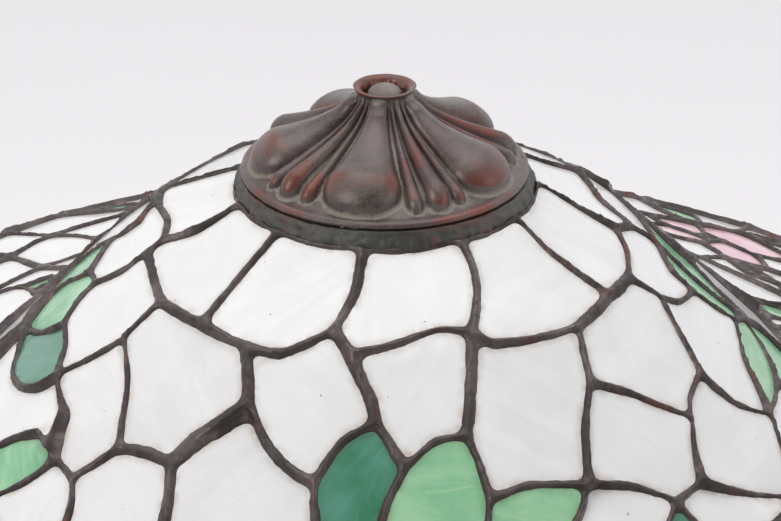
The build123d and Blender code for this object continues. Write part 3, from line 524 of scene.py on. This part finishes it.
def loop_length(loop):
    return sum((b - a).length for a, b in zip(loop, loop[1:] + loop[:1]))


def plane_axes(normal):
    across = Vector((0.0, 0.0, 1.0)).cross(normal).normalized()
    return across, normal.cross(across)


def widened(outline, amount):
    """A flat outline moved outwards."""
    moved = []
    count = len(outline)
    for i, (x, y) in enumerate(outline):
        (x0, y0), (x1, y1) = outline[i - 1], outline[(i + 1) % count]
        a, b = math.hypot(x - x0, y - y0) or 1.0, math.hypot(x1 - x, y1 - y) or 1.0
        nx, ny = (y - y0) / a + (y1 - y) / b, -(x - x0) / a - (x1 - x) / b
        size = math.hypot(nx, ny) or 1.0
        reach = amount * min(1.6, 2.0 / max(size, 0.4))
        moved.append((x + nx / size * reach, y + ny / size * reach))
    return moved


def distance_to(outline, points):
    """Distance from each flat point to a closed outline, and whether it is inside."""
    a = np.array(outline)
    b = np.roll(a, -1, axis=0)
    p = np.array(points)[:, None, :]
    run = b - a
    t = ((p - a) * run).sum(-1) / np.maximum((run * run).sum(-1), 1e-18)
    gap = np.linalg.norm(p - (a + np.clip(t, 0, 1)[..., None] * run), axis=-1).min(axis=1)
    above = (a[:, 1] > p[..., 1]) != (b[:, 1] > p[..., 1])
    height = np.where(np.abs(run[:, 1]) < 1e-12, 1e-12, run[:, 1])
    left = p[..., 0] < a[:, 0] + run[:, 0] * (p[..., 1] - a[:, 1]) / height
    return gap, (above & left).sum(axis=1) % 2 == 1


class Plates:
    """Gathers the visual sheets of one node, with what their glass needs at each point.

    rim is the distance to the seam, tone one chance value a sheet, and grain the place in the
    plate that the sheet was cut from.
    """

    def __init__(self):
        self.points, self.faces, self.rim, self.tone, self.grain = [], [], [], [], []

    def add(self, group, chance):
        normal = flat_normal(group, SHEET_THICK)
        across, upward = plane_axes(normal)
        loop = max(top_loops(group, normal), key=len)
        middle = sum(loop, Vector()) / len(loop)
        line = along_curve(loop, OUTLINE_STEP)
        drawn = [((p - middle).dot(across), (p - middle).dot(upward)) for p in line]
        turned = sum(x0 * y1 - x1 * y0 for (x0, y0), (x1, y1) in zip(drawn, drawn[1:] + drawn[:1]))
        if turned < 0:
            drawn.reverse()
        outer = widened(drawn, UNDER_SEAM)
        low, high = np.min(outer, axis=0), np.max(outer, axis=0)
        grid = []
        for j in range(int((high[1] - low[1]) / (SHEET_STEP * SHEET_ROW)) + 1):
            for i in range(int((high[0] - low[0]) / SHEET_STEP) + 1):
                x = low[0] + (i + 0.5 * (j % 2)) * SHEET_STEP
                grid.append((x, low[1] + j * SHEET_STEP * SHEET_ROW))
        if grid:
            gap, within = distance_to(drawn, grid)
            grid = [g for g, d, ok in zip(grid, gap, within) if ok and d > SHEET_MARGIN]
        edges = [(i, (i + 1) % len(outer)) for i in range(len(outer))]
        flat = [Vector(p) for p in outer + grid]
        made = delaunay_2d_cdt(flat, edges, [], 1, 1e-7)
        corners, triangles = made[0], made[2]
        gap, within = distance_to(drawn, [tuple(c) for c in corners])
        spin = chance.uniform(0, math.tau)
        start = Vector((chance.random(), chance.random(), chance.random())) * 9
        tone = chance.random()
        first = len(self.points)
        for side in (0.0, -SHEET_THICK):
            for corner, d, ok in zip(corners, gap, within):
                place = middle + across * corner.x + upward * corner.y
                rise = side
                if side == 0.0:
                    wave = noise.noise(place / WAVE_LENGTH + start) * SHEET_WAVE
                    edge = (max(0.0, 1.0 - d / EDGE_WIDTH) ** 2 if ok else 1.0) * SHEET_EDGE
                    rise += wave - edge
                self.points.append(place + normal * rise)
                self.rim.append(d if ok else 0.0)
                self.tone.append(tone)
                u = corner.x * math.cos(spin) + corner.y * math.sin(spin)
                v = corner.y * math.cos(spin) - corner.x * math.sin(spin)
                self.grain.append((u + start.x, v + start.y, start.z))
        count = len(corners)
        uses = Counter()
        for triangle in triangles:
            self.faces.append([first + i for i in triangle])
            self.faces.append([first + count + i for i in reversed(triangle)])
            for a, b in zip(triangle, triangle[1:] + triangle[:1]):
                uses[(a, b)] += 1
        for a, b in uses:
            if (b, a) not in uses:
                self.faces.append([first + b, first + a, first + count + a, first + count + b])

    def mesh(self, name):
        mesh = bpy.data.meshes.new(name)
        mesh.from_pydata(self.points, [], self.faces)
        mesh.validate()
        smooth_shading(mesh)
        set_values(mesh, "rim", self.rim)
        set_values(mesh, "tone", self.tone)
        layer = mesh.attributes.new("grain", "FLOAT_VECTOR", "POINT")
        layer.data.foreach_set("vector", np.array(self.grain, dtype=np.float32).ravel())
        mesh.set_sharp_from_angle(angle=math.radians(50))
        return mesh


def build_sheets(node, material):
    chance = random.Random(node)
    shape, groups = solids_of(node)
    plates = Plates()
    for group in groups:
        plates.add(group, chance)
    shape.free()
    add_piece(node.replace("glass_", "opal_"), plates.mesh(node), material, "shade", [node])


def seam_ring(target, group):
    """Adds one frame of a sheet to target, with its outlines smoothed."""
    normal = flat_normal(group, SEAM_THICK)
    ring = bmesh.new()
    edges, drops = [], {}
    loops = sorted(top_loops(group, normal), key=loop_length)
    for loop in loops:
        line = along_curve(loop, OUTLINE_STEP)
        corners = [ring.verts.new(point) for point in line]
        drops.update(dict.fromkeys(corners, MIDDLE_DROP if loop is loops[-1] else SIDE_DROP))
        edges += [ring.edges.new((a, b)) for a, b in zip(corners, corners[1:] + corners[:1])]
    filled = bmesh.ops.triangle_fill(
        ring, use_beauty=True, use_dissolve=False, edges=edges, normal=normal)
    faces = [item for item in filled["geom"] if isinstance(item, bmesh.types.BMFace)]
    pushed = bmesh.ops.extrude_face_region(ring, geom=faces)
    moved = [item for item in pushed["geom"] if isinstance(item, bmesh.types.BMVert)]
    bmesh.ops.translate(ring, verts=moved, vec=-normal * SEAM_THICK)
    for corner, drop in drops.items():
        corner.co -= normal * drop
    bmesh.ops.recalc_face_normals(ring, faces=ring.faces)
    ring.normal_update()
    places = {}
    for vert in ring.verts:
        reach = min(vert.calc_shell_factor(), 2.0) * SWELL
        places[vert] = target.verts.new(vert.co + vert.normal * reach)
    for face in ring.faces:
        target.faces.new([places[vert] for vert in face.verts])
    ring.free()


def with_modifiers(mesh, settings):
    """The mesh after a list of (modifier type, values)."""
    helper = bpy.data.objects.new("helper", mesh)
    bpy.context.scene.collection.objects.link(helper)
    for kind, values in settings:
        modifier = helper.modifiers.new(kind, kind)
        for key, value in values.items():
            setattr(modifier, key, value)
    bpy.context.view_layer.update()
    seen = helper.evaluated_get(bpy.context.evaluated_depsgraph_get())
    result = bpy.data.meshes.new_from_object(seen)
    bpy.data.objects.remove(helper)
    bpy.data.meshes.remove(mesh)
    return result


def part_of_shade(middles, nodes):
    """The seam node that each place on the shade belongs to, as an index into nodes."""
    hoop = -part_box("seams_crown_front")[0].y
    azimuth = np.degrees(np.arctan2(middles[:, 0], -middles[:, 1]))
    crown = [nodes.index("seams_crown_" + side) for side in ("front", "right", "left")]
    skirt = [nodes.index(f"seams_skirt_{k + 1}") for k in range(6)]
    low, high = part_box("seams_skirt_1")
    first = math.degrees(math.atan2(low.x + high.x, -(low.y + high.y)))
    in_crown = np.array(crown)[((azimuth + 60.0) % 360.0 // 120.0).astype(int)]
    in_skirt = np.array(skirt)[((azimuth + 30.0 - first) % 360.0 // 60.0).astype(int)]
    return np.where(np.hypot(middles[:, 0], middles[:, 1]) < hoop, in_crown, in_skirt)


def build_seams(material):
    """Leading of the whole shade: the frames grown together, rounded and slightly uneven.

    It is made in one go, so that it is unbroken, and then shared out to the CAD's seam nodes.
    """
    nodes = sorted(name for name in NODES if name.startswith("seams_"))
    joined = bmesh.new()
    for node in nodes:
        shape, groups = solids_of(node)
        for group in groups:
            seam_ring(joined, group)
        shape.free()
    mesh = bpy.data.meshes.new("leading")
    joined.to_mesh(mesh)
    joined.free()
    voxel = LEAD_VOXEL
    mesh = with_modifiers(mesh, [
        ("REMESH", {"mode": "VOXEL", "voxel_size": voxel, "adaptivity": 0.0}),
        ("SMOOTH", {"factor": 0.5, "iterations": 4}),
    ])
    set_points(mesh, neighbour_mean(mesh, mesh_points(mesh) - mesh_normals(mesh) * SETTLE, 2))
    roughen(mesh, [(0.30 * MM, 7 * MM), (0.18 * MM, 2.6 * MM)])
    mark_hollows(mesh, 4, 0.5 * MM)
    points, normals = mesh_points(mesh), mesh_normals(mesh)
    hollow = np.empty(len(points), dtype=np.float32)
    mesh.attributes["hollow"].data.foreach_get("value", hollow)
    corners = np.empty(len(mesh.loops), dtype=np.int64)
    mesh.loops.foreach_get("vertex_index", corners)
    corners = corners.reshape(-1, 4)
    owner = part_of_shade(points[corners].mean(axis=1), nodes)
    for index, node in enumerate(nodes):
        kept, faces = np.unique(corners[owner == index], return_inverse=True)
        piece = bpy.data.meshes.new(node)
        piece.from_pydata(points[kept].tolist(), [], faces.reshape(-1, 4).tolist())
        smooth_shading(piece)
        set_values(piece, "hollow", hollow[kept])
        piece.normals_split_custom_set_from_vertices(normals[kept].tolist())
        name = node.replace("seams_", "leading_")
        add_piece(name, piece, material, "shade", [node])
    bpy.data.meshes.remove(mesh)


# ------------------------------------------------------------------ turned and cast pieces


def turned_mesh(name, profile, segments, step, bulge=None, sharp=SHARP_CORNER):
    """A closed surface turned from a (radius, height) outline in millimetres.

    bulge(azimuth, radius, height, share) gives how far the surface swells along the outline's
    normal, in millimetres; share runs from 0 to 1 along the outline.
    """
    corners = [Vector((r * MM, z * MM, 0.0)) for r, z in profile]
    line = along_curve(corners, step, sharp)
    count = len(line)
    points, faces = [], []
    for i, place in enumerate(line):
        way = line[(i + 1) % count] - line[i - 1]
        normal = Vector((way.y, -way.x, 0.0)).normalized()
        for k in range(segments):
            azimuth = math.tau * k / segments
            swell = bulge(azimuth, place.x / MM, place.y / MM, i / count) * MM if bulge else 0.0
            r, z = place.x + normal.x * swell, place.y + normal.y * swell
            points.append((r * math.sin(azimuth), -r * math.cos(azimuth), z))
    for i in range(count):
        j = (i + 1) % count
        for k in range(segments):
            n = (k + 1) % segments
            faces.append((i * segments + k, j * segments + k, j * segments + n, i * segments + n))
    mesh = bpy.data.meshes.new(name)
    mesh.from_pydata(points, [], faces)
    mesh.validate()
    shape = bmesh.new()
    shape.from_mesh(mesh)
    bmesh.ops.remove_doubles(shape, verts=shape.verts, dist=1e-7)
    bmesh.ops.recalc_face_normals(shape, faces=shape.faces)
    shape.to_mesh(mesh)
    shape.free()
    smooth_shading(mesh)
    return mesh


def rounded(t):
    """Height of a round lobe across its width, 1 in the middle and 0 at its edges."""
    return math.sqrt(max(0.0, 1.0 - t * t))


# Each lobe of a sector: (turn from the sector's start, half width, outer end, bulb, height, neck).
CAP_LOBES = (
    (0.0, 20.8, 49.4, 37.0, 8.2, 3.8),
    (25.6, 4.1, 48.2, 43.0, 3.8, 1.7),
    (36.4, 6.4, 49.0, 41.0, 6.2, 2.6),
    (47.0, 4.0, 47.6, 42.5, 3.6, 1.7),
)  # fmt: skip
FOOT_LOBES = (
    (0.0, 17.0, 106.0, 84.0, 12.0, 4.0),
    (26.0, 6.0, 104.0, 94.0, 6.0, 2.0),
    (36.0, 4.6, 109.0, 100.0, 8.0, 2.0),
    (46.0, 6.0, 104.0, 94.0, 6.0, 2.0),
)  # fmt: skip


def lobe_swell(azimuth, radius, lobes, inner):
    """How far the lobes stand out, in millimetres; they narrow towards the inner radius."""
    swell = 0.0
    sector = 360 / LOBE_COUNT
    for turn, half, end, bulb, tall, neck in lobes:
        off = (math.degrees(azimuth - FIRST_LOBE) - turn + sector / 2) % sector - sector / 2
        if radius > bulb:
            shrink = rounded((radius - bulb) / (end - bulb))
            reach, rise = half * shrink, tall * shrink
        else:
            ease = max(0.0, 1.0 - (bulb - radius) / (bulb - inner)) ** 2
            rise = neck + (tall - neck) * ease
            reach = half * (0.84 + 0.16 * ease)
        if reach > 0.01 and abs(off) < reach:
            swell = max(swell, rise * rounded(off / reach))
    return swell


def cap_bulge(azimuth, radius, height, share):
    """Lobes of the cap, on its outer face only, fading out under the throat."""
    top = CAP_HIGH.z / MM - 3.0
    if share > OUTER_SHARE or height > top or radius > CAP_LOBE_REACH:
        return 0.0
    return lobe_swell(azimuth, radius, CAP_LOBES, 10.0) * min(1.0, (top - height) / 6.0)


def foot_bulge(azimuth, radius, height, share):
    """Lobes of the foot, on its outer face only, fading out up its neck."""
    if share > OUTER_SHARE or radius > FOOT_LOBE_REACH or height < FOOT_RIM:
        return 0.0
    top = FOOT_HIGH.z / MM - 8.0
    return lobe_swell(azimuth, radius, FOOT_LOBES, 30.0) * max(0.0, min(1.0, (top - height) / 16.0))


def build_cap(material):
    """Vent cap: a bell with a flat rim, five great lobes and three small ones between each two."""
    z = CAP_LOW.z / MM
    outside = [
        (51.6, z), (53.0, z + 0.8), (53.0, z + 1.8), (51.8, z + 2.6), (49.5, z + 3.0), (46, z + 4.4),
        (40, z + 7.6), (33, z + 11.4), (26, z + 15.2), (19.5, z + 19.0), (14.4, z + 23.2),
        (11.4, z + 27.2), (10.2, z + 30.6), (10.6, z + 33.0), (11.6, z + 34.5),
    ]
    within = [
        (10.6, z + 34.6), (8.9, z + 33.6), (8.3, z + 31.6), (8.2, z + 28.6), (10.4, z + 24.4),
        (16, z + 18.6), (23, z + 14.2), (31, z + 9.8), (39, z + 5.3), (45.5, z + 1.6), (49.5, z),
    ]
    profile = [(r, q - LIP_DROP * max(0.0, (q - z - 19.0) / 15.5)) for r, q in outside + within]
    mesh = turned_mesh("cap_cast", profile, 540, 0.75 * MM, cap_bulge, math.radians(75))
    mesh = with_modifiers(mesh, [("SMOOTH", {"factor": 0.5, "iterations": 2})])
    roughen(mesh, [(0.10 * MM, 5 * MM), (0.05 * MM, 1.4 * MM)])
    smooth_shading(mesh)
    mark_hollows(mesh, 10, 0.35 * MM)
    add_piece("cap_cast", mesh, material, "cap", ["cap"])


def build_ring(material):
    """Collar of rough solder round the shade's opening, lapping unevenly over the glass."""
    z = CROWN_HEIGHT / MM
    profile = [
        (50.4, z - 4), (53.0, z - 4), (53.2, z + 0.2), (54.2, z - 0.8), (55.8, z - 0.6),
        (55.4, z + 1.4), (54.2, z + 3.8), (53.2, z + 6.1), (50.6, z + 6.1),
    ]

    def ragged(azimuth, radius, height, share):
        if radius < 54.0 or height > z + 4.8:
            return 0.0
        way = Vector((math.sin(azimuth), math.cos(azimuth), 0.0))
        waves = ((0.9, 4.0), (0.7, 15.0), (0.4, 31.0))
        return sum(size * noise.noise(way * often) for size, often in waves)

    mesh = turned_mesh("collar", profile, 420, 0.8 * MM, ragged)
    roughen(mesh, [(0.55 * MM, 4.2 * MM), (0.42 * MM, 1.9 * MM)])
    set_points(mesh, np.minimum(mesh_points(mesh), [1.0, 1.0, RING_HIGH.z]))
    smooth_shading(mesh)
    mark_hollows(mesh, 4, 0.2 * MM)
    add_piece("collar", mesh, material, "shade", ["crown_ring"])


def build_nut(material):
    """Domed nut in the cap's throat."""
    low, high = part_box("top_nut")
    z, r, rise = low.z / MM, high.x / MM, (high.z - low.z) / MM
    side = 3.4  # height of the nut's straight side
    angles = np.linspace(0.1, math.pi / 2, 7)[:-1]
    dome = [(r * math.cos(a), z + side + (rise - side) * math.sin(a)) for a in angles]
    profile = [
        (BORE, z), (r - 0.5, z), (r, z + 0.6), (r, z + 3.0), *dome,
        (0.0, z + rise), (0.0, z + 5.6), (BORE, z + 5.4),
    ]
    mesh = turned_mesh("nut_dome", profile, 96, 0.5 * MM)
    roughen(mesh, [(0.05 * MM, 2 * MM)])
    mark_hollows(mesh, 4, 0.3 * MM)
    add_piece("nut_dome", mesh, material, "top_nut", ["top_nut"])


def cast_piece(node, profile, material, segments, step, bulge=None):
    """A turned casting in place of its CAD node, slightly uneven, with its hollows marked."""
    mesh = turned_mesh(node, profile, segments, step * MM, bulge, math.radians(60))
    roughen(mesh, [(0.12 * MM, 6 * MM)])
    mark_hollows(mesh, 8, 0.4 * MM)
    add_piece(node + "_cast", mesh, material, "base", [node])


def build_stand(material):
    """Foot and stem: smooth castings on the same outlines as the CAD pieces."""
    foot = [
        (114.0, 1.5), (115.0, 3.0), (114.8, 8.5), (112, 12.4), (105, 16), (96, 20), (84, 24.5),
        (70, 31), (56, 40), (44, 52), (35, 64), (30, 74), (27.4, 79), (27, 83.4), (26, 84),
        (BORE, 84), (BORE, 74), (24, 73), (31, 61), (40, 48), (52, 36), (66, 27), (80, 20.5),
        (94, 15.5), (104, 11.5), (110, 7), (110, 1.5),
    ]
    cast_piece("foot", foot, material, 440, 1.4, foot_bulge)
    low = FOOT_HIGH.z / MM
    lower = [
        (22, low), (22, low + 4.6), (15, low + 10), (13, low + 20), (17, low + 36), (23.4, low + 52),
        (24, low + 60), (22.6, low + 70), (17, low + 84), (12.5, low + 98), (16, low + 104),
        (16, low + 109.5), (15, low + 110), (BORE, low + 110), (BORE, low + 104), (8.5, low + 98),
        (13, low + 82), (19.6, low + 65), (19.6, low + 55), (13, low + 37), (9, low + 20),
        (10, low + 9), (BORE, low + 6), (BORE, low),
    ]

    def gadroons(azimuth, radius, height, share):
        """Fluting round the swelling of the stem."""
        if share > 0.5:
            return 0.0
        belly = max(0.0, 1.0 - abs(height - low - 60) / 34.0)
        return -1.3 * belly * abs(math.sin(azimuth * 8))

    cast_piece("stem_lower", lower, material, 288, 1.2, gadroons)
    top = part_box("stem_upper")[1].z / MM
    bottom = top - 60
    upper = [
        (16, bottom), (16, bottom + 5.6), (12, bottom + 10), (11, bottom + 22), (14, bottom + 38),
        (22, bottom + 51), (24, bottom + 55), (24, top - 0.4), (23.4, top), (BORE, top),
        (BORE, bottom + 55), (18, bottom + 51), (10.5, bottom + 38), (7.8, bottom + 22),
        (8, bottom + 9), (BORE, bottom + 6), (BORE, bottom),
    ]
    cast_piece("stem_upper", upper, material, 192, 1.2)
    column_low, column_high = (corner.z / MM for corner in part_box("stem_column"))

    def reeds(azimuth, radius, height, share):
        """Twelve round reeds, ending short of the tube's ends."""
        if radius < 10.0:
            return 0.0
        ends = min(height - column_low, column_high - height)
        return 1.7 * max(0.0, min(1.0, (ends - 5.0) / 3.0)) * abs(math.cos(azimuth * 6)) ** 0.7

    column = [(12.0, column_low), (12.0, column_high), (8.5, column_high), (8.5, column_low)]
    cast_piece("stem_column", column, material, 288, 2.5, reeds)


# ------------------------------------------------------------------ everything


def paint_cad_nodes(materials):
    """Procedural materials for the CAD nodes that stay."""
    for subpart in frame["record"]["subparts"]:
        node = NODES[subpart["node"]]
        if node.hide_render or subpart["material_slot"] not in materials:
            continue
        node.data.materials.clear()
        node.data.materials.append(materials[subpart["material_slot"]])


def build_all():
    slots = {subpart["node"]: subpart["material_slot"] for subpart in frame["record"]["subparts"]}
    glass = {
        "white_glass": opal_glass(
            "opal_white", (0.80, 0.80, 0.80), (0.72, 0.715, 0.71), (0.70, 0.71, 0.69), 0.3, 0.4),
        "leaf_glass": opal_glass(
            "opal_mint", (0.33, 0.60, 0.36), (0.10, 0.38, 0.19), (0.45, 0.66, 0.38), 0.5, 0.55),
        "dark_leaf_glass": opal_glass(
            "opal_teal", (0.085, 0.27, 0.20), (0.022, 0.17, 0.075), (0.10, 0.34, 0.20), 0.5, 0.55),
        "petal_glass": opal_glass(
            "opal_pink", (0.76, 0.55, 0.61), (0.66, 0.38, 0.47), (0.80, 0.70, 0.72), 0.5, 0.5),
        "centre_glass": opal_glass(
            "opal_yellow", (0.80, 0.73, 0.44), (0.66, 0.52, 0.22), (0.80, 0.78, 0.62), 0.4, 0.5),
        "border_glass": opal_glass(
            "opal_pale_green", (0.50, 0.68, 0.53), (0.28, 0.52, 0.36), (0.62, 0.74, 0.60), 0.5, 0.5),
    }
    solder = leading_metal()
    bronze = patinated_bronze(
        "bronze_cast", (0.070, 0.046, 0.044), (0.135, 0.104, 0.102), (0.175, 0.050, 0.032),
        (0.33, 0.31, 0.25), 0.75, 0.31,
    )
    collar = patinated_bronze(
        "collar_solder", (0.050, 0.048, 0.044), (0.090, 0.085, 0.078), (0.12, 0.06, 0.045),
        (0.19, 0.20, 0.17), 0.6, 0.5,
    )
    materials = {
        **glass,
        "patinated_solder": solder,
        "bronze": bronze,
        "brass": plain_metal("brass_aged", (0.48, 0.34, 0.14), 0.3),
        "steel": plain_metal("steel_dull", (0.42, 0.41, 0.39), 0.38),
        "iron": soft_stuff("iron_cast", (0.05, 0.05, 0.05), 0.7, 400.0, 0.0006),
        "felt": soft_stuff("felt_green", (0.03, 0.08, 0.045), 0.95, 1400.0, 0.0008),
        "bulb_glass": bulb_glass(),
        "liner": soft_stuff("liner_card", (0.30, 0.23, 0.15), 0.85, 500.0, 0.0003),
        "inlet": soft_stuff("inlet_black", (0.02, 0.02, 0.02), 0.45, 900.0, 0.0002),
    }
    for name in sorted(NODES):
        if name.startswith("glass_"):
            build_sheets(name, glass[slots[name]])
    build_seams(solder)
    build_cap(bronze)
    build_ring(collar)
    build_nut(plain_metal("nut_grey", (0.25, 0.22, 0.19), 0.5, 0.5))
    build_stand(bronze)
    paint_cad_nodes(materials)


add_camera()
add_floor()
add_room()
add_lights()
build_all()
